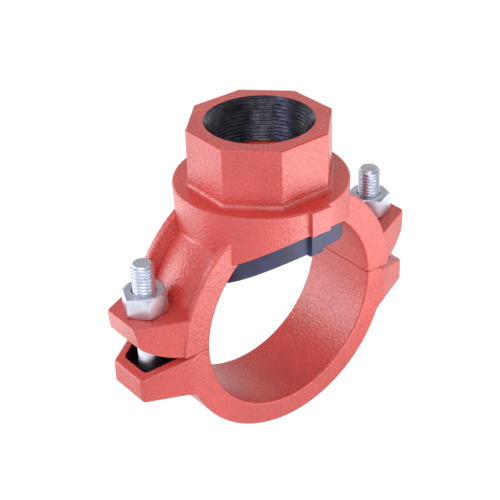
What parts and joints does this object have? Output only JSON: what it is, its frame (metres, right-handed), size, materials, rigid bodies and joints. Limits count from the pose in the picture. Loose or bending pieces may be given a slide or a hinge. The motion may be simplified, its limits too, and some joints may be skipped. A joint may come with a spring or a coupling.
{
  "type": "mechanical tee",
  "caption": "Bolted saddle tee: a strap housing and a cored lower housing clamp a rubber saddle gasket on a pipe under a threaded octagonal branch outlet.",
  "frame": {"origin": "on the run pipe's axis, straight under the outlet", "axes": "+X from the left bolt to the right bolt, +Y along the run pipe, +Z along the outlet, out of its mouth"},
  "size_m": [0.1928, 0.1008, 0.1816],
  "materials": {
    "red_enamel": "orange-red enamel over rough ductile iron casting",
    "gasket_rubber": "moulded dark rubber",
    "zinc_plated_steel": "bright zinc plate",
    "bare_iron": "dark cut thread, not painted"
  },
  "bodies": {
    "upper": {"upper_housing": "red_enamel", "gasket": "gasket_rubber"},
    "lower": {"lower_housing": "red_enamel", "bolt_left": "zinc_plated_steel", "bolt_right": "zinc_plated_steel"},
    "nut_left": {"nut_left": "zinc_plated_steel"},
    "nut_right": {"nut_right": "zinc_plated_steel"}
  },
  "joints": [
    {"name": "unclamp", "type": "slide", "parent": "upper", "child": "lower", "axis": [0, 0, -1], "range_m": [0, 0.01563]},
    {"name": "nut_left_turn", "type": "hinge", "parent": "upper", "child": "nut_left", "pos_m": [-0.0802, 0, 0.0308], "axis": [0, 0, 1], "range_deg": [0, 2881]},
    {"name": "nut_right_turn", "type": "hinge", "parent": "upper", "child": "nut_right", "pos_m": [0.0802, 0, 0.0308], "axis": [0, 0, 1], "range_deg": [0, 2881]}
  ],
  "couplings": [
    {"joint": "nut_left_turn", "follows": "unclamp", "rad_per_m": 3215.8},
    {"joint": "nut_right_turn", "follows": "unclamp", "rad_per_m": 3215.8}
  ]
}
